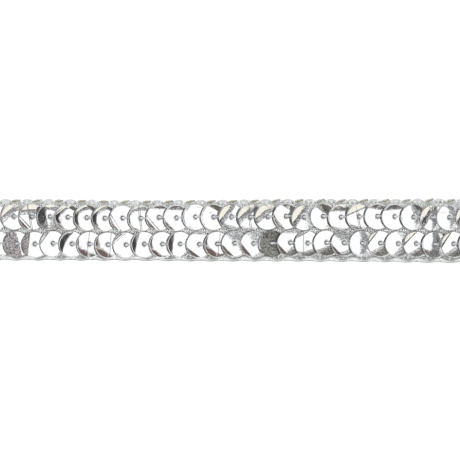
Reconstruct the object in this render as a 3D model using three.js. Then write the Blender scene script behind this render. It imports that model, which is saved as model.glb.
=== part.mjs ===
// A cut length of two-row sequin trim: round cup sequins sewn like fish scales along a narrow knitted tape.
// Millimetres, +Z up. X runs along the trim, Y across it, and the tape's flat back lies at Z = 0.
import * as THREE from "three";

// Driving dimensions
const TRIM_LENGTH = 100;
const TAPE_THICKNESS = 1.0;
const SELVEDGE_RISE = 0.15;
const SELVEDGE_WIDTH = 0.8;
const SEQUINS_IN_A_ROW = 27;
const SEQUIN_DIAMETER = 4.8;
const SEQUIN_THICKNESS = 0.2;
const HOLE_DIAMETER = 0.9;
const SEQUIN_PITCH = 3.53;
const CLEARANCE = 0.3;

// The cup: facets round the hole rise gently to a six-sided fold, past which the rim turns up more steeply
const FOLD_SIDES = 6;
const FOLD_APOTHEM = 1.5;
const FOLD_RISE = 0.12;
const CUP_DEPTH = 0.4;
const RIM_STEPS_PER_SIDE = 3;

// How the sequins lie: each leans on the one to its left and a little down to the gap between the rows, and no two
// lie quite alike
const LEAN = THREE.MathUtils.degToRad(16);
const INWARD_ROLL = THREE.MathUtils.degToRad(2.5);
const UNEVEN_LEAN = THREE.MathUtils.degToRad(0.7);
const UNEVEN_ROLL = THREE.MathUtils.degToRad(2);
const UNEVEN_ALONG = 0.13;
const UNEVEN_ACROSS = 0.09;

// The two rows, with the place along the trim of each one's middle sequin
const ROWS = [
  { name: "upper", along: 0.3, roll: INWARD_ROLL, seed: 1 },
  { name: "lower", along: 0.95, roll: -INWARD_ROLL, seed: 2 },
];

// How the soft tape wanders: at places along the trim, how far from its middle line the holes of the two rows
// and its two edges lie
const WANDER = [
  { along: -52, upper: 2.65, lower: -2.55, top: 6.2, bottom: -5.9 },
  { along: -36, upper: 2.65, lower: -2.6, top: 6.2, bottom: -5.9 },
  { along: -20, upper: 2.45, lower: -2.75, top: 6.0, bottom: -5.95 },
  { along: -4, upper: 2.6, lower: -2.6, top: 6.05, bottom: -6.1 },
  { along: 10, upper: 2.72, lower: -2.42, top: 6.2, bottom: -6.1 },
  { along: 26, upper: 2.7, lower: -2.42, top: 6.2, bottom: -6.2 },
  { along: 38, upper: 2.6, lower: -2.65, top: 6.25, bottom: -6.35 },
  { along: 52, upper: 2.6, lower: -2.75, top: 6.2, bottom: -6.4 },
];
const SCALLOP_PITCH = 4.2;
const SCALLOP_DEPTH = 0.1;
const TAPE_STEP = 0.84;
const PUCKER = 0.06;

// A repeatable value from -1 to 1 for each sequin, different for each seed
function uneven(index, seed) {
  const wave = Math.sin(index * 12.9898 + seed * 78.233) * 43758.5453;
  return 2 * (wave - Math.floor(wave)) - 1;
}

function material(color, roughness, metalness) {
  return new THREE.MeshStandardMaterial({ color, roughness, metalness });
}

// How far across one of WANDER's columns lies at a place along the trim, eased from each of its rows to the next
function wander(column, along) {
  const next = Math.max(1, WANDER.findIndex((row) => row.along >= along));
  const [before, after] = [WANDER[next - 1], WANDER[next]];
  const share = THREE.MathUtils.smoothstep(along, before.along, after.along);
  return THREE.MathUtils.lerp(before[column], after[column], share);
}

// The tape's section at one place: the two bottom corners, then the top face from one edge to the other
function tapeSection(along) {
  const scallop = (SCALLOP_DEPTH / 2) * Math.cos((2 * Math.PI * along) / SCALLOP_PITCH);
  const pucker = PUCKER * Math.cos((2 * Math.PI * along) / SEQUIN_PITCH);
  const low = wander("bottom", along) - scallop;
  const high = wander("top", along) + scallop;
  const across = [
    [low, 0],
    [high, 0],
    [high, 0.45 * TAPE_THICKNESS],
    [high - 0.25 * SELVEDGE_WIDTH, TAPE_THICKNESS],
    [high - 0.6 * SELVEDGE_WIDTH, TAPE_THICKNESS + SELVEDGE_RISE],
    [high - 1.2 * SELVEDGE_WIDTH, TAPE_THICKNESS - PUCKER],
    [wander("upper", along), TAPE_THICKNESS - PUCKER + pucker],
    [0, TAPE_THICKNESS],
    [wander("lower", along), TAPE_THICKNESS - PUCKER + pucker],
    [low + 1.2 * SELVEDGE_WIDTH, TAPE_THICKNESS - PUCKER],
    [low + 0.6 * SELVEDGE_WIDTH, TAPE_THICKNESS + SELVEDGE_RISE],
    [low + 0.25 * SELVEDGE_WIDTH, TAPE_THICKNESS],
    [low, 0.45 * TAPE_THICKNESS],
  ];
  return across.map(([y, z]) => new THREE.Vector3(along, y, z));
}

// The tape as one closed solid, lofted through its sections with flat cut ends
function tapeGeometry() {
  const steps = Math.round(TRIM_LENGTH / TAPE_STEP);
  const sections = [];
  for (let step = 0; step <= steps; step += 1) {
    sections.push(tapeSection(TRIM_LENGTH * (step / steps - 0.5)));
  }
  const corners = sections[0].length;
  const faces = [];
  for (let step = 0; step < steps; step += 1) {
    for (let corner = 0; corner < corners; corner += 1) {
      const a = step * corners + corner;
      const b = step * corners + ((corner + 1) % corners);
      faces.push(a, b, a + corners, b, b + corners, a + corners);
    }
  }
  const last = steps * corners;
  const outline = sections[0].map((point) => new THREE.Vector2(point.y, point.z));
  const cap = THREE.ShapeUtils.triangulateShape(outline, []);
  for (const [a, b, c] of cap) {
    faces.push(a, c, b);
    faces.push(last + a, last + b, last + c);
  }
  const geometry = new THREE.BufferGeometry().setFromPoints(sections.flat());
  geometry.setIndex(faces);
  geometry.computeVertexNormals();
  return geometry;
}

// How far out the fold lies at an angle round the hole, against its nearest distance
function foldStretch(angle) {
  const side = (2 * Math.PI) / FOLD_SIDES;
  const fromCorner = THREE.MathUtils.euclideanModulo(angle, side);
  return 1 / Math.cos(fromCorner - side / 2);
}

// One cup sequin about its hole, hollow side up, with the top of the hole's rim at the origin
function sequinGeometry() {
  const top = [
    { radius: HOLE_DIAMETER / 2, height: 0 },
    { radius: FOLD_APOTHEM, height: FOLD_RISE },
    { radius: SEQUIN_DIAMETER / 2, height: CUP_DEPTH },
  ];
  const under = top.map(({ radius, height }) => ({ radius, height: height - SEQUIN_THICKNESS }));
  const profile = [...under, ...top.toReversed(), under[0]];
  const points = profile.map(({ radius, height }) => new THREE.Vector2(radius, height));
  const geometry = new THREE.LatheGeometry(points, FOLD_SIDES * RIM_STEPS_PER_SIDE);
  geometry.rotateX(Math.PI / 2);
  const corner = new THREE.Vector3();
  const places = geometry.attributes.position;
  for (let index = 0; index < places.count; index += 1) {
    corner.fromBufferAttribute(places, index);
    const onFold = profile[index % profile.length].radius === FOLD_APOTHEM;
    const stretch = onFold ? foldStretch(Math.atan2(corner.y, corner.x) + Math.PI / 2) : 1;
    places.setXYZ(index, corner.x * stretch, corner.y * stretch, corner.z);
  }
  geometry.computeVertexNormals();
  return geometry;
}

// The height of a hole's rim that leaves the leaning cup's lowest point clear of the tape
function holeHeight() {
  const tilt = Math.tan(LEAN);
  const fold = FOLD_RISE - tilt * FOLD_APOTHEM * foldStretch(0);
  const rim = CUP_DEPTH - tilt * (SEQUIN_DIAMETER / 2);
  const lowest = Math.min(fold, rim) * Math.cos(LEAN) - SEQUIN_THICKNESS;
  return TAPE_THICKNESS + CLEARANCE - lowest;
}

function sequinRow(row, geometry, finish) {
  const group = new THREE.Group();
  const middle = (SEQUINS_IN_A_ROW - 1) / 2;
  const height = holeHeight();
  for (let index = 0; index < SEQUINS_IN_A_ROW; index += 1) {
    const along = row.along + (index - middle) * SEQUIN_PITCH;
    const sequin = new THREE.Mesh(geometry, finish);
    sequin.name = `sequin_${row.name}_${String(index + 1).padStart(2, "0")}`;
    sequin.position.set(
      along + UNEVEN_ALONG * uneven(index, row.seed),
      wander(row.name, along) + UNEVEN_ACROSS * uneven(index, row.seed + 30),
      height,
    );
    sequin.rotation.set(
      row.roll + UNEVEN_ROLL * uneven(index, row.seed + 10),
      LEAN + UNEVEN_LEAN * uneven(index, row.seed + 20),
      0,
    );
    group.add(sequin);
  }
  return group;
}

// Stands the trim on Z = 0 with the middle of its bounding box at X = Y = 0
function centre(group) {
  const box = new THREE.Box3().setFromObject(group, true);
  const middle = box.getCenter(new THREE.Vector3());
  group.position.set(-middle.x, -middle.y, -box.min.z);
}

const trim = new THREE.Group();
const tape = new THREE.Mesh(tapeGeometry(), material(0xa9aba8, 0.8, 0.0));
tape.name = "backing_tape";
trim.add(tape);
const cup = sequinGeometry();
const silver = material(0xd9dadb, 0.12, 1.0);
for (const row of ROWS) trim.add(sequinRow(row, cup, silver));
centre(trim);

export default trim;
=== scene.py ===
"""A cut length of two-row sequin trim lying flat: silver cup sequins sewn along a narrow knitted net tape.
+Z up. X runs along the trim and Y across it, towards the selvedge with the tan stitches. Shapes are worked
out in millimetres and made in metres."""

import math

import bmesh
import bpy
import numpy as np
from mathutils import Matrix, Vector


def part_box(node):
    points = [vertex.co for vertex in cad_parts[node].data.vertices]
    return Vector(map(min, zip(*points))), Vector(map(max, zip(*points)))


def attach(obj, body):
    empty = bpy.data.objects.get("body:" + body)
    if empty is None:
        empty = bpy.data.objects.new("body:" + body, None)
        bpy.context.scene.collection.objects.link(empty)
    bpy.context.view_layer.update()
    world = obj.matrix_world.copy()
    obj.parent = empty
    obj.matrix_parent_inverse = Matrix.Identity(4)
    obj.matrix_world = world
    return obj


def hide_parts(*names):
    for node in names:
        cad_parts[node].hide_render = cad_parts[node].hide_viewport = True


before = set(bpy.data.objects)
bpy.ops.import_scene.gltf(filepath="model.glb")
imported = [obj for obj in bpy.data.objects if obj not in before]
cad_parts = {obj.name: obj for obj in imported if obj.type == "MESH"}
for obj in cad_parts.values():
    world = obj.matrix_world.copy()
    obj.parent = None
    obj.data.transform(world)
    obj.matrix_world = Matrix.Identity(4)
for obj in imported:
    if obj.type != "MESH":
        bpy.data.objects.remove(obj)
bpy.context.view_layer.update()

MM = 0.001
RNG = np.random.default_rng(20)

# The picture: how much of the trim it shows at the height of the films, how far across the trim its middle
# lies, and a long lens looking straight down, which sees nothing nearer than CLIP_START. The floor reaches
# FLOOR_HALF each way.
VIEW_WIDTH = 89.4
VIEW_HEIGHT = 1.5
VIEW_MIDDLE = 0.15
LENS = 200.0
SENSOR = 36.0
CLIP_START = 10
FLOOR_HALF = 1500

# Sequins
PER_ROW = 27
FILM_RADIUS = 2.6
FILM_THICKNESS = 0.1
HOLE_RADIUS = 0.38
HOLE_OFF_CENTRE = 0.11
LIP_RADIUS = 0.47
LIP_WIDTH = 0.12
LIP_HEIGHT = 0.06
BOWL_SLOPE = 2.2
EDGE_ROUND = 0.09
EDGE_DROP = 0.085
HOLE_ROUND = 0.02
# A film's mesh: its points round the hole, the rings of them from its lip to its edge, and how many of those
# rings on top there are to one below
SPOKES = 72
RINGS = 15
UNDERSIDE_STEP = 3
# A straight band of one slope, wider than this, has a row of points along its middle too
NARROW = 0.1
# Points this near to a fold's line count as on it, and a fold's slopes are added up in this many steps
ON_LINE = 0.008
SLOPE_STEPS = 500
# Film is never quite even: a few shallow waves cross each sequin, this long and this steep in degrees
WAVES = 3
WAVE_LENGTH = (1.0, 2.0)
WAVE_SLOPE = (0.4, 1.1)

# A film lies this many degrees flatter than its solid, turned about its seat, and keeps this share of its
# roll. The corners round a solid's hole are those no further out than this many times the nearest.
SETTLE = 5.0
SEAT = 1.9
ROLL_KEPT = 0.5
HOLE_CORNERS = 1.2

# What a face of a film is finished with, as a place in FILM_FINISHES. Only the plain film is the film's own
# colour: the underside and cut edges are painted dark grey and the hole's rim darker grey, both painted
# shade, and the rough dull film, the charcoal film and the crumpled film's darker mottling are painted
# reflection.
UNDERSIDE_PAINTED_SHADE, PLAIN, DULL_PAINTED_REFLECTION, DARK_PAINTED_REFLECTION, HOLE_RIM_PAINTED_SHADE, CRUMPLED_PAINTED_REFLECTION = range(6)

# How film is bent. angle: which way the fold faces, in degrees round from the trim's right-hand end; reach:
# how far in from the rim it starts; curve: the fold line's radius, or None where it is straight; slopes: how
# steeply the film turns up, in degrees, at distances past the fold's start; the dents' range: from where to
# where past the start the film is crumpled and given darker mottling, a painted reflection; finish: what the
# top of the film past the start is finished with, which for m, M and k is painted reflection.
FOLDS = {
    "rim": {"angle": 190, "reach": 0.34, "curve": 2.4,
            "slopes": ((0, 0), (0.05, 6), (0.14, 10), (0.45, 11.5))},
    "c": {"angle": 132, "reach": 2.2, "curve": None, "dents_and_painted_reflection": (0.1, 1.05),
          "slopes": ((0, 0), (0.15, 6), (0.4, 7.2), (1, 8.4), (1.08, 11), (1.22, 11.6), (1.3, 16.5),
                     (2.6, 17.5))},
    "C": {"angle": 147, "reach": 2.3, "curve": None, "dents_and_painted_reflection": (0.1, 1.05),
          "slopes": ((0, 0), (0.3, 7), (0.7, 10), (1, 11), (1.08, 18), (1.22, 19), (1.3, 24), (2.6, 25))},
    "o": {"angle": 92, "reach": 2.2, "curve": None, "dents_and_painted_reflection": (0.1, 0.95),
          "slopes": ((0, 0), (0.15, 4), (0.9, 5.6), (0.98, 7.6), (1.12, 8.2), (1.2, 13.5), (2.3, 14.5))},
    "p": {"angle": 88, "reach": 1.4, "curve": None, "dents_and_painted_reflection": (0.1, 0.65),
          "slopes": ((0, 0), (0.3, 3.5), (0.6, 4.6), (0.66, 7.6), (0.8, 8.2), (0.88, 13.5), (1.5, 14.5))},
    "a": {"angle": 116, "reach": 1.35, "curve": 3.2, "dents_and_painted_reflection": (0.05, 0.65),
          "slopes": ((0, 0), (0.2, 3.5), (0.6, 5.5), (0.68, 8.6), (0.85, 9.3), (0.93, 14.5), (1.5, 16.5))},
    "S": {"angle": 128, "reach": 1.5, "curve": None,
          "slopes": ((0, 0), (0.2, 5), (0.5, 7.5), (0.55, 10.4), (0.7, 10.4), (0.75, 16), (0.92, 16.3),
                     (0.96, 10.4), (1.06, 10.4), (1.1, 16.5), (1.5, 17.5))},
    "L": {"angle": 180, "reach": 2.1, "curve": 8, "dents_and_painted_reflection": (0.05, 2.2),
          "slopes": ((0, 0), (0.1, 9), (0.25, 14), (2, 20))},
    "E": {"angle": 205, "reach": 1.7, "curve": 9,
          "slopes": ((0, 0), (0.1, 8.8), (0.8, 11), (0.9, 15.5), (1.7, 19))},
    "j": {"angle": 113, "reach": 1.5, "curve": None, "dents_and_painted_reflection": (0.03, 0.3),
          "slopes": ((0, 0), (0.06, 5), (0.25, 8), (0.3, 11), (0.36, 11.6), (0.42, 16.5), (1.5, 17.5))},
    "d": {"angle": 190, "reach": 1.2, "curve": 3.6,
          "slopes": ((0, 0), (0.08, 8.6), (0.45, 10.8), (0.6, 15.5), (1.2, 20))},
    "l": {"angle": 167, "reach": 1.4, "curve": 12,
          "slopes": ((0, 0), (0.06, 9), (0.24, 10.2), (0.4, 12.6), (1.4, 13.8))},
    "D": {"angle": 151, "reach": 1.6, "curve": 9,
          "slopes": ((0, 0), (0.12, 9.5), (0.3, 14.5), (0.5, 17.5), (1.2, 18), (1.3, 8), (1.7, 6))},
    "f": {"angle": 222, "reach": 0.65, "curve": None,
          "slopes": ((0, 0), (0.04, 10.5), (0.25, 12.5), (0.7, 14.5))},
    "b": {"angle": 226, "reach": 0.8, "curve": 2.7, "slopes": ((0, 0), (0.12, 7), (0.35, 10.5), (0.8, 15))},
    "B": {"angle": 228, "reach": 1.35, "curve": 3.2,
          "slopes": ((0, 0), (0.2, 6.5), (0.5, 10), (0.9, 13), (1.8, 15))},
    "r": {"angle": 60, "reach": 1.15, "curve": None, "slopes": ((0, 0), (0.08, 7), (0.25, 13.5), (1.2, 15))},
    "R": {"angle": 64, "reach": 1.15, "curve": None, "dents_and_painted_reflection": (0.1, 0.4),
          "slopes": ((0, 0), (0.12, 3), (0.3, 5.8), (1.2, 6.2))},
    "w": {"angle": 42, "reach": 2.2, "curve": 9, "dents_and_painted_reflection": (0.1, 0.9),
          "slopes": ((0, 0), (0.2, 8), (0.45, 12), (0.9, 16), (2.3, 17))},
    "t": {"angle": 88, "reach": 1.35, "curve": None, "dents_and_painted_reflection": (0, 0.35),
          "slopes": ((0, 0), (0.18, 3.8), (0.32, 7.2), (1.4, 8.4))},
    "T": {"angle": 88, "reach": 1.5, "curve": None, "dents_and_painted_reflection": (0, 0.35),
          "slopes": ((0, 0), (0.18, 3.8), (0.3, 7.4), (1.12, 8.2), (1.19, 13), (1.6, 13.5))},
    "u": {"angle": 145, "reach": 0.75, "curve": None,
          "slopes": ((0, 0), (0.05, 13), (0.2, 13), (0.25, 6.5), (0.36, 7), (0.42, 8), (0.5, 3), (0.75, 2))},
    "v": {"angle": 141, "reach": 0.85, "curve": None,
          "slopes": ((0, 0), (0.06, 13), (0.22, 14), (0.28, 19.5), (1.1, 20.5))},
    "V": {"angle": 148, "reach": 0.95, "curve": None,
          "slopes": ((0, 0), (0.06, 17), (0.22, 18), (0.28, 24), (1.1, 25))},
    "x": {"angle": 130, "reach": 0.9, "curve": None,
          "slopes": ((0, 0), (0.05, 10), (0.2, 10), (0.24, 1), (0.36, 1), (0.4, 12.5), (0.55, 12.5),
                     (0.65, 3), (0.9, 2))},
    "n": {"angle": 219, "reach": 1.15, "curve": None,
          "slopes": ((0, 0), (0.04, 13.5), (0.24, 14.5), (0.28, 0), (0.46, 0), (0.5, 13), (0.8, 15),
                     (1.2, 16))},
    "e": {"angle": 188, "reach": 0.95, "curve": 3.0,
          "slopes": ((0, 0), (0.04, 13), (0.12, 13), (0.17, 3), (0.5, 4), (0.6, 7), (1, 8))},
    "G": {"angle": 50, "reach": 1.6, "curve": None, "dents_and_painted_reflection": (0.05, 2.8),
          "slopes": ((0, 0), (0.3, 5.5), (0.8, 8.8), (2.8, 10))},
    "g": {"angle": 12, "reach": 2.7, "curve": 9, "dents_and_painted_reflection": (0.05, 4),
          "slopes": ((0, 0), (0.12, 8), (0.3, 11.5), (1, 14), (2.9, 14))},
    "q": {"angle": 306, "reach": 1.9, "curve": 12, "dents_and_painted_reflection": (0.05, 2.5),
          "slopes": ((0, 0), (0.12, 5), (0.45, 8), (0.8, 12), (1.3, 14), (2.2, 15))},
    "h": {"angle": 8, "reach": 2.9, "curve": 7, "dents_and_painted_reflection": (0, 4),
          "slopes": ((0, 0), (0.15, 13), (0.4, 17), (1, 19), (2.9, 19))},
    "y": {"angle": 350, "reach": 1.5, "curve": 3, "slopes": ((0, 0), (0.15, -8), (1.6, -9))},
    "Y": {"angle": 354, "reach": 1.6, "curve": 4, "slopes": ((0, 0), (0.15, -15), (1.7, -21))},
    "i": {"angle": 8, "reach": 2.75, "curve": None,
          "slopes": ((0, 0), (0.03, 20), (0.11, 20), (0.15, 0), (0.28, 0), (0.32, -20), (0.4, -20),
                     (0.44, 0))},
    "s": {"angle": 4, "reach": 2.6, "curve": None,
          "slopes": ((0, 0), (0.03, -17), (0.08, -17), (0.11, 0), (0.14, 17), (0.19, 17), (0.22, 0))},
    # m and M: rough film painted dark mauve-grey past the fold, a painted reflection
    "m": {"angle": 176, "reach": 1.5, "curve": None, "finish": DULL_PAINTED_REFLECTION,
          "slopes": ((0, 0), (0.06, 6), (1.5, 12))},
    "M": {"angle": 195, "reach": 3.2, "curve": None, "finish": DULL_PAINTED_REFLECTION,
          "slopes": ((0, 0), (0.1, 2), (3.2, 7))},
    # k: the whole film painted charcoal and made rough, a painted reflection
    "k": {"angle": 0, "reach": 5.0, "curve": None, "finish": DARK_PAINTED_REFLECTION, "slopes": ((0, 0), (5, 0))},
    "K": {"angle": 172, "reach": 0.22, "curve": 2.7, "finish": PLAIN, "slopes": ((0, 0), (0.3, -3))},
}
# The folds in each sequin, charted from left to right: a letter of FOLDS, then the fold's own angle
# and reach where they differ. Every sequin has the rim's fold too.
BENT = {
    "upper": (
        "", "c131/2.3 G50/1.4", "o92 i8/3.2 n222", "p86 L190 G335/2.3", "S E r62/0.95", "a115/1.2 d r48/0.9",
        "a128/1.3 d r42/0.9", "n211", "a102/1.15 i8/2.95 b215", "t/1.0 n222", "t/1.1 f222/0.8", "e",
        "r60/1.2 e185/0.5", "C145 q250/1.2", "c134/2.3 i5/2.95 R q262/0.8", "c132/2.4 R60/1.2",
        "r60/1.2 f217/1.0", "C146/2.5 G10/2.6", "w y", "T90/1.5 q262/0.7", "j i8/3.05 q255/0.9", "t80/1.3",
        "t95/1.35", "r45/1.0 g8/2.6 y", "C150/2.45 h/2.75 Y", "g5/2.7 y", "C145",
    ),
    "lower": (
        "b", "M", "m", "u q320/0.7", "D", "s353/3.0 B/1.5", "s355/2.2 B218/1.7", "x q320/0.5", "l",
        "b215/1.0", "l172 q315/0.9", "f235/0.78 t/0.7", "s355/2.35 b225/1.3 q320/0.7", "f224/0.85 G42/2.8",
        "f218/0.9 G38/2.5 q320/0.8", "k K G95/1.8", "f226/0.8 q312/1.9 t/0.7", "s0/3.5 q285/1.4 u120/0.7",
        "q300/2.2", "f222/0.82 G50/2.8 q290/1.2", "g0/3.0 y", "v140 q305/2.3", "q328/2.1 G40/1.4",
        "v135/1.1 q308/1.9", "h352/3.2 Y q262/1.5", "V148/1.0 q310/2.0", "",
    ),
}
# No fold is quite as charted: its angle and reach are off by up to this much
ANGLE_JITTER = 2
REACH_JITTER = 0.04

# Thread: how long and how deep the twist of its two plies is, the steps of its curve between two stops, and
# the sides of its tube
PLY_TWIST = 0.9
PLY_DEPTH = 0.16
CURVE_STEPS = 6
THREAD_SIDES = 10
STITCH_SIDES = 8
# A line whose direction starts with a Z over this is steep, and its tube's first side is found from Y, not Z
STEEP = 0.9

# A row's sewing thread
THREAD_RADIUS = 0.17
KNOT_RADIUS = 0.24
# Its way through a film, in the film's own directions from its hole: distance along, height, and the
# thread's radius
HOLE_ROUTE = (
    (-0.03, -0.45, KNOT_RADIUS),
    (0.0, -0.05, KNOT_RADIUS),
    (0.16, 0.12, KNOT_RADIUS),
    (0.6, 0.16, THREAD_RADIUS),
    (1.5, 0.22, THREAD_RADIUS),
    (2.4, 0.3, THREAD_RADIUS),
)
# Where it is back in the tape: this far along from the hole, and this high above the floor
DOWN_ALONG = 2.85
DOWN_HEIGHT = 1.12

# The knitted tape: two layers of loops, one under the other. Corners of the tape's solid below BACK_HEIGHT
# are on its flat back, and the yarn stops short of the solid's ends by KNIT_END.
BACK_HEIGHT = 0.05
KNIT_END = 0.1
WALE = 0.9
COURSE = 0.65
LOOP_HEIGHT = 1.15
LOOP_BULGE = 0.17
LOOP_RISE = 0.11
LOOP_STEPS = 12
YARN_RADIUS = 0.11
YARN_SIDES = 4
# A course of loops wanders across by WOBBLE, in a wave that turns by this much from loop to loop and starts
# this much further on in the next course, in radians
WOBBLE = 0.04
WOBBLE_TURN = 0.7
WOBBLE_SHIFT = 1.9
# The net stands up a little between the two rows, whose stitches draw it down
RIDGE_HEIGHT = 0.46
RIDGE_WIDTH = 0.5
# The two layers: how high they lie, how much of the ridge they have, and how far inside the edges they stop
LAYERS = (
    {"name": "knit_face", "height": 0.92, "ridge": 1, "top_inset": 0.35, "bottom_inset": 0.6},
    {"name": "knit_under", "height": 0.36, "ridge": 0, "top_inset": 0.12, "bottom_inset": 0.1},
)

# Selvedge threads: how far inside the edge the thread's outermost places lie, how far it swings in between
# them, where along the trim one of those places is, and the thread's radius and height
STITCH_PITCH = 4.22
SELVEDGE = {
    "braid_upper": (
        {"inset": 0.12, "swing": 0.8, "peak": 2.69, "radius": 0.12, "height": 1.0},
        {"inset": 0.4, "swing": 0.75, "peak": 2.69, "radius": 0.1, "height": 0.95},
        {"inset": 0.3, "swing": 0.7, "peak": 0.7, "radius": 0.1, "height": 0.85},
    ),
    "braid_lower": (
        {"inset": 0.42, "swing": 0.6, "peak": 0.9, "radius": 0.2, "height": 0.95},
        {"inset": 0.7, "swing": 0.5, "peak": 1.5, "radius": 0.17, "height": 0.9},
        {"inset": 0.12, "swing": 0.12, "peak": 0.9, "radius": 0.09, "height": 0.5},
    ),
}
SELVEDGE_STEP = 0.14
SELVEDGE_END = 0.2
SELVEDGE_RISE = 0.08

# The tan stitches: where one of them has its middle, the room that each needs behind and ahead of that, and
# by how much its place and its slant are off
TAN_MIDDLE = 0.58
TAN_ROOM = (1.2, 3.0)
TAN_JITTER = 0.15
SLANT_JITTER = 0.08
# The slant is given at this distance from the middle, and takes the thread no nearer to the edge than this
TAN_HALF = 0.6
LEAST_INSET = 0.06
# A stitch's way: distance ahead of its middle, distance inside the edge, height, and the thread's radius. It
# is slack in the middle of the stitch and drawn thin where it turns over the edge.
TAN_ROUTE = (
    (-0.95, 0.85, 0.6, 0.12),
    (-0.62, 0.66, 0.98, 0.14),
    (0.0, 0.48, 1.14, 0.27),
    (0.6, 0.28, 0.98, 0.14),
    (0.7, 0.17, 0.6, 0.12),
    (0.8, 0.3, 0.3, 0.12),
    (1.6, 0.9, 0.3, 0.14),
    (2.6, 0.9, 0.3, 0.14),
)
# How much nearer to the edge than its route a stitch is at TAN_HALF, at the trim's left and right ends
TAN_SLANT = (-0.16, 0.12)

# What the film mirrors: cards in the white room, by the angle from straight up towards +X and towards +Y and
# the width of their soft edges, all in degrees. Each card is in front of those listed before it.
CARDS = (
    {"name": "grey side", "x": (-60, 7), "y": (-75, 75), "soft": 6, "colour": (0.36, 0.365, 0.375)},
    {"name": "dark room", "x": (-75, -8), "y": (-75, 75), "soft": 8, "colour": (0.13, 0.125, 0.11)},
    {"name": "grey shade below", "x": (-20, 60), "y": (-18, -9.5), "soft": 3, "colour": (0.42, 0.435, 0.46)},
    {"name": "dark below", "x": (-40, 13), "y": (-60, -17.5), "soft": 4, "colour": (0.13, 0.125, 0.1)},
    {"name": "dark line", "x": (9, 82), "y": (-25, -15), "soft": 2, "colour": (0.15, 0.14, 0.14)},
    {"name": "cream card", "x": (11, 84), "y": (-48, -24.5), "soft": 2, "colour": (0.97, 0.93, 0.82)},
    {"name": "far below", "x": (-75, 95), "y": (-90, -46), "soft": 3, "colour": (0.34, 0.33, 0.33)},
    {"name": "grey shade above", "x": (-20, 34), "y": (10, 18), "soft": 4, "colour": (0.42, 0.435, 0.45)},
    {"name": "dark above", "x": (-40, 28), "y": (18, 60), "soft": 5, "colour": (0.19, 0.18, 0.16)},
    {"name": "brown card", "x": (24, 84), "y": (12, 60), "soft": 8, "colour": (0.16, 0.12, 0.11)},
    {"name": "far above", "x": (-75, 95), "y": (44, 90), "soft": 3, "colour": (0.36, 0.36, 0.36)},
    {"name": "mauve side", "x": (39, 84), "y": (-16, 16), "soft": 6, "colour": (0.3, 0.275, 0.27)},
    {"name": "black side", "x": (45, 95), "y": (-23, 16), "soft": 4, "colour": (0.045, 0.043, 0.045)},
)
WHITE_CARD = 1.12
DAYLIGHT = 1.65
# The least a direction counts as off the vertical, so that straight up divides by something
OFF_VERTICAL = 1e-4

# Yarn and thread
YARN_ROUGHNESS = (0.55, 0.8)
YARN_GROOVES = 0.03


def node_pose(name):
    """Where a sequin's solid lies: the middle of its hole's top edge, and the way it faces."""
    corners = np.array([v.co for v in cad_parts[name].data.vertices]) / MM
    centre = corners.mean(0)
    up = np.linalg.svd(corners - centre)[2][2]
    up *= np.sign(up[2])
    offset = corners - centre
    height = offset @ up
    distance = np.linalg.norm(offset - np.outer(height, up), axis=1)
    hole = distance < distance.min() * HOLE_CORNERS
    top = hole & (height > height[hole].mean())
    return centre + up * height[top].mean(), up


def film_pose(name):
    """Where a film lies, on its solid's seat and a little flatter, and its own X, Y and Z directions."""
    origin, up = node_pose(name)
    lean = math.atan2(up[0], up[2])
    settled = lean - math.radians(SETTLE)
    origin = origin - (0, 0, SEAT * (math.sin(lean) - math.sin(settled)))
    up = np.array([math.sin(settled), up[1] * ROLL_KEPT, math.cos(settled)])
    up /= np.linalg.norm(up)
    along = np.array([1.0, 0, 0]) - up * up[0]
    along /= np.linalg.norm(along)
    return origin, np.array([along, np.cross(up, along), up])


def material(name):
    """A new material, with its nodes, its links and its shader."""
    made = bpy.data.materials.new(name)
    made.use_nodes = True
    return made, made.node_tree.nodes, made.node_tree.links, made.node_tree.nodes["Principled BSDF"]


def noise(nodes, links, scale, detail=3.0, stretch=(1, 1, 1)):
    """A noise pattern in the object's own metres, as its Fac output."""
    place = nodes.new("ShaderNodeTexCoord")
    mapping = nodes.new("ShaderNodeMapping")
    mapping.inputs["Scale"].default_value = stretch
    pattern = nodes.new("ShaderNodeTexNoise")
    pattern.inputs["Scale"].default_value = scale
    pattern.inputs["Detail"].default_value = detail
    links.new(place.outputs["Object"], mapping.inputs["Vector"])
    links.new(mapping.outputs["Vector"], pattern.inputs["Vector"])
    return pattern.outputs["Fac"]


def spread(nodes, links, value, given, wanted):
    """Maps a value within the given pair of numbers onto the wanted pair."""
    ramp = nodes.new("ShaderNodeMapRange")
    ramp.inputs["From Min"].default_value = given[0]
    ramp.inputs["From Max"].default_value = given[1]
    ramp.inputs["To Min"].default_value = wanted[0]
    ramp.inputs["To Max"].default_value = wanted[1]
    links.new(value, ramp.inputs["Value"])
    return ramp.outputs["Result"]


def blend_colours(nodes, links, value, dark, light):
    """The dark colour where the value is 0 and the light one where it is 1."""
    mix = nodes.new("ShaderNodeMix")
    mix.data_type = "RGBA"
    mix.inputs["A"].default_value = (*dark, 1)
    mix.inputs["B"].default_value = (*light, 1)
    links.new(value, mix.inputs["Factor"])
    return mix.outputs["Result"]


def add_bump(nodes, links, shader, pattern, strength, depth):
    """Dents a surface after a pattern, to a depth in millimetres."""
    bump = nodes.new("ShaderNodeBump")
    bump.inputs["Strength"].default_value = strength
    bump.inputs["Distance"].default_value = depth * MM
    links.new(pattern, bump.inputs["Height"])
    links.new(bump.outputs["Normal"], shader.inputs["Normal"])


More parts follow.
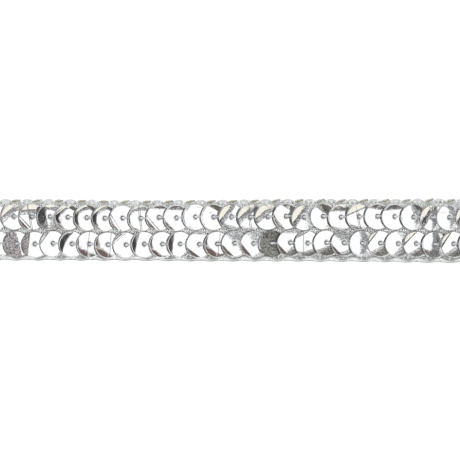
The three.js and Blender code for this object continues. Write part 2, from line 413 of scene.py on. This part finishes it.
def film_material(name, dark, light, rough, dents, mottle=2600):
    """Silvered polyester film, mottled between two colours, with its least and most roughness, the depth of
    its dents and the scale of its mottling."""
    made, nodes, links, shader = material(name)
    shader.inputs["Metallic"].default_value = 1.0
    blotches = noise(nodes, links, scale=mottle, detail=6)
    mottled = spread(nodes, links, blotches, given=(0.42, 0.58), wanted=(0, 1))
    links.new(blend_colours(nodes, links, mottled, dark, light), shader.inputs["Base Color"])
    scuffs = noise(nodes, links, scale=900, detail=4, stretch=(1, 0.25, 1))
    links.new(spread(nodes, links, scuffs, given=(0.35, 0.7), wanted=rough), shader.inputs["Roughness"])
    dimples = noise(nodes, links, scale=3200, detail=2)
    add_bump(nodes, links, shader, dimples, strength=1.0, depth=dents)
    return made


def yarn_material(name, dark, light):
    """Twisted filament yarn: a soft sheen, with lighter and darker fibres along it."""
    made, nodes, links, shader = material(name)
    fibres = noise(nodes, links, scale=5200, detail=4, stretch=(0.5, 1, 1))
    tone = spread(nodes, links, fibres, given=(0.35, 0.65), wanted=(0, 1))
    links.new(blend_colours(nodes, links, tone, dark, light), shader.inputs["Base Color"])
    sheen = spread(nodes, links, fibres, given=(0.3, 0.7), wanted=YARN_ROUGHNESS)
    links.new(sheen, shader.inputs["Roughness"])
    add_bump(nodes, links, shader, fibres, strength=0.5, depth=YARN_GROOVES)
    return made


def add_piece(name, points, faces, finishes):
    """A piece of the trim from points in millimetres."""
    mesh = bpy.data.meshes.new(name)
    mesh.from_pydata([tuple(point) for point in np.asarray(points) * MM], [], faces)
    mesh.shade_smooth()
    for finish in finishes:
        mesh.materials.append(finish)
    piece = bpy.data.objects.new(name, mesh)
    bpy.context.scene.collection.objects.link(piece)
    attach(piece, "root")
    return piece


def ring_faces(start, rings, around):
    """Quads between rings of points that follow each other, each of them closed."""
    faces = []
    for ring in range(rings - 1):
        low = start + ring * around
        for k in range(around):
            after = (k + 1) % around
            faces.append((low + k, low + after, low + around + after, low + around + k))
    return faces


def tube(line, radius, sides, twist=0.0):
    """Points and faces of a closed tube along a line. twist is the pitch of its two plies, or 0 for none."""
    line = np.asarray(line, float)
    radii = np.broadcast_to(radius, len(line))
    along = np.gradient(line, axis=0)
    along /= np.linalg.norm(along, axis=1)[:, None]
    side = np.cross(along[0], (0, 0, 1) if abs(along[0][2]) < STEEP else (0, 1, 0))
    run = np.concatenate([[0], np.cumsum(np.linalg.norm(np.diff(line, axis=0), axis=1))])
    points = []
    turn = np.arange(sides) * 2 * math.pi / sides
    for place, ahead, far, thick in zip(line, along, run, radii):
        side = side - ahead * (side @ ahead)
        side /= np.linalg.norm(side)
        other = np.cross(ahead, side)
        plies = 1 + PLY_DEPTH * np.cos(2 * (turn - 2 * math.pi * far / twist)) if twist else np.ones(sides)
        ring = np.outer(plies * np.cos(turn), side) + np.outer(plies * np.sin(turn), other)
        points.extend(place + thick * ring)
    faces = ring_faces(0, len(line), sides)
    faces.append(tuple(range(sides))[::-1])
    faces.append(tuple(range(len(points) - sides, len(points))))
    return points, faces


def smooth_line(points):
    """A Catmull-Rom curve through the points."""
    p = np.asarray(points, float)
    p = np.vstack([2 * p[0] - p[1], p, 2 * p[-1] - p[-2]])
    t = np.linspace(0, 1, CURVE_STEPS, endpoint=False)[:, None]
    line = []
    for a, b, c, d in zip(p, p[1:], p[2:], p[3:]):
        squared = (2 * a - 5 * b + 4 * c - d) * t**2
        cubed = (3 * b - a - 3 * c + d) * t**3
        line.append((2 * b + (c - a) * t + squared + cubed) / 2)
    return np.vstack([*line, p[-2]])


def joined(parts):
    """Several (points, faces) pairs as one."""
    points, faces = [], []
    for some, quads in parts:
        start = len(points)
        points.extend(some)
        faces.extend(tuple(start + k for k in face) for face in quads)
    return points, faces


def flat_film():
    """A flat ring of film as a closed shell with square cut edges."""
    inner = HOLE_RADIUS + HOLE_ROUND
    outer = FILM_RADIUS - EDGE_ROUND
    past_lip = LIP_RADIUS + LIP_WIDTH
    bowl = list(np.linspace(past_lip, outer, RINGS))
    top = [HOLE_RADIUS, inner, LIP_RADIUS, *bowl, FILM_RADIUS]
    bowl_under = bowl[-1 - UNDERSIDE_STEP:0:-UNDERSIDE_STEP]
    under = [FILM_RADIUS, outer, *bowl_under, LIP_RADIUS, inner, HOLE_RADIUS]
    rings = [(radius, 0) for radius in top] + [(radius, -FILM_THICKNESS) for radius in under]
    turn = np.arange(SPOKES) * 2 * math.pi / SPOKES
    points = []
    for radius, z in rings:
        shift = HOLE_OFF_CENTRE * max(0, radius - past_lip) / (FILM_RADIUS - past_lip)
        points.extend((radius * math.cos(a), radius * math.sin(a) - shift, z) for a in turn)
    faces = ring_faces(0, len(rings), SPOKES)
    last = (len(rings) - 1) * SPOKES
    faces += [(last + k, last + (k + 1) % SPOKES, (k + 1) % SPOKES, k) for k in range(SPOKES)]
    made = bmesh.new()
    corners = [made.verts.new(point) for point in points]
    for face in faces:
        made.faces.new([corners[k] for k in reversed(face)])
    return made


def past_fold(x, y, fold):
    """How far points lie past the start of a fold, negative inside it."""
    start = FILM_RADIUS - fold["reach"]
    y = y + HOLE_OFF_CENTRE
    facing = math.cos(fold["angle"]), math.sin(fold["angle"])
    if fold["curve"] is None:
        return x * facing[0] + y * facing[1] - start
    back = start - fold["curve"]
    return np.hypot(x - back * facing[0], y - back * facing[1]) - fold["curve"]


def film_height(x, y, folds):
    """The film's height over its hole: a shallow bowl, the hole's lip, the rounded edge and the folds."""
    from_hole = np.hypot(x, y)
    from_middle = np.hypot(x, y + HOLE_OFF_CENTRE)
    height = math.tan(math.radians(BOWL_SLOPE)) * (from_hole - HOLE_RADIUS)
    height += LIP_HEIGHT * np.clip(1 - np.abs(from_hole - LIP_RADIUS) / LIP_WIDTH, 0, 1)
    height -= EDGE_DROP * np.clip((from_middle - FILM_RADIUS) / EDGE_ROUND + 1, 0, 1)
    out = np.linspace(0, 2 * FILM_RADIUS, SLOPE_STEPS)
    for fold in folds:
        slope = np.tan(np.radians(np.interp(out, *np.transpose(fold["slopes"]))))
        rise = np.cumsum(slope) * out[1]
        height += np.interp(past_fold(x, y, fold), out, rise, left=0)
    return height


def own_fold(word):
    """One sequin's fold from its word in BENT: its name, then its angle and reach where they differ."""
    kind = word.rstrip("0123456789./")
    fold = dict(FOLDS[kind])
    angle, _, reach = word[len(kind):].partition("/")
    fold["angle"] = math.radians(float(angle or fold["angle"]) + RNG.uniform(-ANGLE_JITTER, ANGLE_JITTER))
    fold["reach"] = float(reach or fold["reach"]) + RNG.uniform(-REACH_JITTER, REACH_JITTER)
    return fold


def waves(x, y):
    """A few shallow waves across the film, each its own way."""
    height = 0
    for _ in range(WAVES):
        way = RNG.uniform(0, 2 * math.pi)
        length = RNG.uniform(*WAVE_LENGTH)
        steep = math.tan(math.radians(RNG.uniform(*WAVE_SLOPE)))
        turns = (x * math.cos(way) + y * math.sin(way)) / length + RNG.random()
        height = height + steep * length / (2 * math.pi) * np.sin(2 * math.pi * turns)
    return height


def cut_along(film, fold):
    """Gives a straight fold's creases, and the middles of its wide bands, rows of points of their own."""
    facing = Vector((math.cos(fold["angle"]), math.sin(fold["angle"]), 0))
    lines = [out for out, _ in fold["slopes"]]
    lines += [(low + high) / 2 for low, high in zip(lines, lines[1:]) if high - low > NARROW]
    for out in lines:
        everything = film.verts[:] + film.edges[:] + film.faces[:]
        place = facing * (FILM_RADIUS - fold["reach"] + out) - Vector((0, HOLE_OFF_CENTRE, 0))
        bmesh.ops.bisect_plane(film, geom=everything, dist=ON_LINE, plane_co=place, plane_no=facing)


def film_finish(x, y, facing_up, folds):
    """What the film's faces, with their middles at x and y, are finished with."""
    # Faces that don't face up, the underside and the cut edge, are painted dark grey: painted shade along
    # the rims
    finish = np.where(facing_up, PLAIN, UNDERSIDE_PAINTED_SHADE).astype(np.int32)
    for fold in folds:
        past = past_fold(x, y, fold)
        # A fold's own finish: for m and M rough film with painted reflection, for k the film painted
        # charcoal as a painted reflection
        if "finish" in fold:
            finish[facing_up & (past > 0)] = fold["finish"]
        # Between these distances the film is crumpled, with real dents and darker mottling that is a painted
        # reflection
        if "dents_and_painted_reflection" in fold:
            low, high = fold["dents_and_painted_reflection"]
            finish[facing_up & (finish == PLAIN) & (past > low) & (past < high)] = CRUMPLED_PAINTED_REFLECTION
    # The film inside the lip is painted darker grey: painted shade round the hole
    finish[facing_up & (np.hypot(x, y) < LIP_RADIUS)] = HOLE_RIM_PAINTED_SHADE
    return finish


def sequin(row, index):
    """One film, bent and finished as charted, in place of its solid. Returns where it lies."""
    name = f"{row}_{index + 1:02d}"
    origin, axes = film_pose(f"sequin_{name}")
    folds = [own_fold(word) for word in ("rim " + BENT[row][index]).split()]
    film = FLAT_FILM.copy()
    for fold in folds:
        if fold["curve"] is None:
            cut_along(film, fold)
    film.normal_update()
    film.verts.index_update()
    local = np.array([corner.co for corner in film.verts])
    middles = np.array([face.calc_center_median() for face in film.faces])
    facing_up = np.array([face.normal.z > 0.5 for face in film.faces])
    faces = [[corner.index for corner in face.verts] for face in film.faces]
    film.free()
    local[:, 2] += film_height(local[:, 0], local[:, 1], folds) + waves(local[:, 0], local[:, 1])
    piece = add_piece(f"film_{name}", origin + local @ axes, faces, FILM_FINISHES)
    finish = film_finish(middles[:, 0], middles[:, 1], facing_up, folds)
    piece.data.polygons.foreach_set("material_index", finish)
    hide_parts(f"sequin_{name}")
    return origin, axes


def thread(name, stops, radii, sides, finish):
    """A thread of two plies that passes through its stops, with its radius at each."""
    line = smooth_line(stops)
    thick = np.interp(np.linspace(0, len(radii) - 1, len(line)), range(len(radii)), radii)
    points, faces = tube(line, thick, sides, PLY_TWIST)
    return add_piece(name, points, faces, [finish])


def hole_thread(row, poses):
    """One row's sewing thread: up through each hole, to the right over the film, and down into the tape."""
    stops = []
    radii = []
    for origin, axes in poses:
        for x, z, radius in HOLE_ROUTE:
            stops.append(origin + np.array([x, 0, z]) @ axes)
            radii.append(radius)
        down = origin + np.array([DOWN_ALONG, 0, 0]) @ axes
        stops.append(np.array([down[0], down[1], DOWN_HEIGHT]))
        radii.append(THREAD_RADIUS)
    return thread(f"thread_{row}", stops, radii, THREAD_SIDES, GREY_THREAD)


def tape_edges():
    """The places along the tape's solid where its two edges are given, and how far across they lie."""
    corners = np.array([v.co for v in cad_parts["backing_tape"].data.vertices]) / MM
    bottom = corners[corners[:, 2] < BACK_HEIGHT]
    found = {}
    for side in (1, -1):
        rim = bottom[np.sign(bottom[:, 1]) == side]
        places, first = np.unique(np.round(rim[:, 0], 3), return_index=True)
        found[side] = (places, rim[first, 1])
    return found


def edge(side, x):
    """How far across the tape's upper (1) or lower (-1) edge lies at a place along it."""
    return np.interp(x, *TAPE_EDGE[side])


def knit_layer(layer):
    """Rows of yarn, each one a line of loops that reach through the row above."""
    low, high = LOW + KNIT_END, HIGH - KNIT_END
    loops = round((high - low) / WALE)
    t = np.linspace(0, loops, loops * LOOP_STEPS + 1)
    x = low + (high - low) * (t - LOOP_BULGE * np.sin(4 * math.pi * t)) / loops
    top = edge(1, x) - layer["top_inset"] - LOOP_HEIGHT / 2 - YARN_RADIUS
    bottom = edge(-1, x) + layer["bottom_inset"] + LOOP_HEIGHT / 2 + YARN_RADIUS
    courses = round(float((top - bottom).mean()) / COURSE)
    parts = []
    for course in range(courses + 1):
        middle = bottom + (top - bottom) * course / courses
        wobble = WOBBLE * np.sin(t * WOBBLE_TURN + course * WOBBLE_SHIFT)
        y = middle + wobble - LOOP_HEIGHT / 2 * np.cos(2 * math.pi * t)
        z = layer["height"] + LOOP_RISE * np.cos(4 * math.pi * t)
        z += layer["ridge"] * RIDGE_HEIGHT * np.exp(-((y / RIDGE_WIDTH) ** 2))
        parts.append(tube(np.stack([x, y, z], 1), YARN_RADIUS, YARN_SIDES))
    points, faces = joined(parts)
    return add_piece(layer["name"], points, faces, [NET])


def braid(name, side, finish):
    """The grey threads that loop along one selvedge."""
    x = np.arange(LOW + SELVEDGE_END, HIGH - SELVEDGE_END, SELVEDGE_STEP)
    parts = []
    for strand in SELVEDGE[name]:
        turn = 2 * math.pi * (x - strand["peak"]) / STITCH_PITCH
        inset = strand["inset"] + strand["swing"] * (1 - np.cos(turn)) / 2
        y = edge(side, x) - side * inset
        z = strand["height"] + SELVEDGE_RISE * np.cos(2 * turn)
        parts.append(tube(np.stack([x, y, z], 1), strand["radius"], STITCH_SIDES))
    points, faces = joined(parts)
    return add_piece(name, points, faces, [finish])


def tan_stitches():
    """The tan thread that binds the upper edge: a short slanted stitch on the face, then round behind."""
    first = math.ceil((LOW + TAN_ROOM[0] - TAN_MIDDLE) / STITCH_PITCH)
    last = math.floor((HIGH - TAN_ROOM[1] - TAN_MIDDLE) / STITCH_PITCH)
    stops = []
    radii = []
    for stitch in range(first, last + 1):
        middle = TAN_MIDDLE + stitch * STITCH_PITCH + RNG.uniform(-TAN_JITTER, TAN_JITTER)
        slant = np.interp(middle, (LOW, HIGH), TAN_SLANT) + RNG.uniform(-SLANT_JITTER, SLANT_JITTER)
        for ahead, inset, z, radius in TAN_ROUTE:
            lift = slant * np.clip(ahead / TAN_HALF, -1, 1)
            stops.append((middle + ahead, edge(1, middle + ahead) - max(inset - lift, LEAST_INSET), z))
            radii.append(radius)
    return thread("stitches_upper", stops, radii, STITCH_SIDES, TAN_THREAD)


def studio():
    """A white room. The trim's film mirrors its cards, and all else is lit evenly."""
    world = bpy.data.worlds.new("studio")
    bpy.context.scene.world = world
    world.use_nodes = True
    nodes, links = world.node_tree.nodes, world.node_tree.links
    look = nodes.new("ShaderNodeTexCoord")
    split = nodes.new("ShaderNodeSeparateXYZ")
    links.new(look.outputs["Generated"], split.inputs[0])
    x, y, z = split.outputs

    def maths(operation, *values):
        """A maths node's result, from numbers and other nodes' outputs."""
        node = nodes.new("ShaderNodeMath")
        node.operation = operation
        for socket, value in zip(node.inputs, values):
            if isinstance(value, (int, float)):
                socket.default_value = value
            else:
                links.new(value, socket)
        return node.outputs[0]

    away = maths("DEGREES", maths("ARCCOSINE", z))
    squares = maths("ADD", maths("MULTIPLY", x, x), maths("MULTIPLY", y, y))
    level = maths("MAXIMUM", maths("SQRT", squares), OFF_VERTICAL)
    lean_x = maths("MULTIPLY", away, maths("DIVIDE", x, level))
    lean_y = maths("MULTIPLY", away, maths("DIVIDE", y, level))
    mirrored = None
    for card in CARDS:
        inside = None
        for lean, (low, high) in ((lean_x, card["x"]), (lean_y, card["y"])):
            rise = maths("MINIMUM", maths("DIVIDE", maths("SUBTRACT", lean, low), card["soft"]), 1)
            fall = maths("MINIMUM", maths("DIVIDE", maths("SUBTRACT", high, lean), card["soft"]), 1)
            both = maths("MULTIPLY", maths("MAXIMUM", rise, 0), maths("MAXIMUM", fall, 0))
            inside = both if inside is None else maths("MULTIPLY", inside, both)
        mix = nodes.new("ShaderNodeMix")
        mix.data_type = "RGBA"
        mix.inputs["A"].default_value = (WHITE_CARD, WHITE_CARD, WHITE_CARD, 1)
        if mirrored is not None:
            links.new(mirrored, mix.inputs["A"])
        mix.inputs["B"].default_value = (*card["colour"], 1)
        links.new(inside, mix.inputs["Factor"])
        mirrored = mix.outputs["Result"]
    kind = nodes.new("ShaderNodeLightPath")
    choose = nodes.new("ShaderNodeMix")
    choose.data_type = "RGBA"
    choose.inputs["A"].default_value = (DAYLIGHT, DAYLIGHT, DAYLIGHT, 1)
    links.new(kind.outputs["Is Glossy Ray"], choose.inputs["Factor"])
    links.new(mirrored, choose.inputs["B"])
    links.new(choose.outputs["Result"], nodes["Background"].inputs["Color"])


def floor():
    """A sheet of white paper that the trim lies on."""
    mesh = bpy.data.meshes.new("floor")
    half = FLOOR_HALF * MM
    corners = [(-half, -half, 0), (half, -half, 0), (half, half, 0), (-half, half, 0)]
    mesh.from_pydata(corners, [], [(0, 1, 2, 3)])
    made, *_, shader = material("paper_floor")
    shader.inputs["Base Color"].default_value = (0.95, 0.95, 0.95, 1)
    shader.inputs["Roughness"].default_value = 0.9
    shader.inputs["Specular IOR Level"].default_value = 0.0
    mesh.materials.append(made)
    made_floor = bpy.data.objects.new("floor", mesh)
    bpy.context.scene.collection.objects.link(made_floor)


def camera():
    """A camera far above the middle of the picture, facing straight down."""
    data = bpy.data.cameras.new("camera")
    data.lens = LENS
    data.sensor_width = SENSOR
    made = bpy.data.objects.new("camera", data)
    bpy.context.scene.collection.objects.link(made)
    made.location = Vector((0, VIEW_MIDDLE, VIEW_HEIGHT + VIEW_WIDTH * LENS / SENSOR)) * MM
    data.clip_start = CLIP_START * MM
    bpy.context.scene.camera = made


camera()
studio()
floor()
bpy.context.scene.view_settings.view_transform = "Standard"

# In the order of: underside and cut edges (painted shade), plain film, rough film painted dark mauve-grey
# (painted reflection), film painted charcoal (painted reflection), hole's rim (painted shade) and crumpled
# film whose darker mottling is painted reflection
FILM_FINISHES = [
    # The underside and cut edges: dark grey, a painted shade
    yarn_material("film_back_painted_shade", (0.28, 0.28, 0.29), (0.4, 0.4, 0.41)),
    film_material("film", (0.9, 0.9, 0.91), (0.97, 0.97, 0.96), (0.04, 0.1), 0.008),
    # Rough film mottled dark mauve-grey: a painted reflection
    film_material("dull_film_painted_reflection", (0.16, 0.14, 0.14), (0.72, 0.69, 0.7), (0.3, 0.5), 0.012, mottle=4200),
    # Film painted charcoal all over: a painted reflection
    film_material("film_painted_dark_reflection", (0.1, 0.1, 0.09), (0.4, 0.4, 0.375), (0.25, 0.5), 0.02, mottle=4400),
    # The hole's rim: darker grey film, a painted shade
    film_material("worn_hole_rim", (0.3, 0.3, 0.32), (0.5, 0.5, 0.52), (0.35, 0.5), 0.008),
    # Crumpled film: deep dents, and darker mottling that is a painted reflection
    film_material("crumpled_film_painted_reflection", (0.58, 0.59, 0.61), (0.96, 0.96, 0.95), (0.08, 0.2), 0.032, mottle=3400),
]
GREY_THREAD = yarn_material("grey_thread", (0.32, 0.34, 0.36), (0.54, 0.56, 0.58))
BRAID = yarn_material("braid", (0.42, 0.44, 0.43), (0.6, 0.62, 0.61))
LOWER_BRAID = yarn_material("lower_braid", (0.27, 0.28, 0.27), (0.44, 0.455, 0.445))
TAN_THREAD = yarn_material("tan_thread", (0.2, 0.188, 0.142), (0.37, 0.352, 0.28))
NET = yarn_material("net_yarn", (0.79, 0.81, 0.8), (0.93, 0.95, 0.94))

TAPE_EDGE = tape_edges()
tape_low, tape_high = (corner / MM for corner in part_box("backing_tape"))
LOW, HIGH = tape_low.x, tape_high.x
FLAT_FILM = flat_film()

for row in ("upper", "lower"):
    hole_thread(row, [sequin(row, index) for index in range(PER_ROW)])
face, under = (knit_layer(layer) for layer in LAYERS)
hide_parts("backing_tape")
sewn = [face, tan_stitches(), braid("braid_upper", 1, BRAID), braid("braid_lower", -1, LOWER_BRAID)]
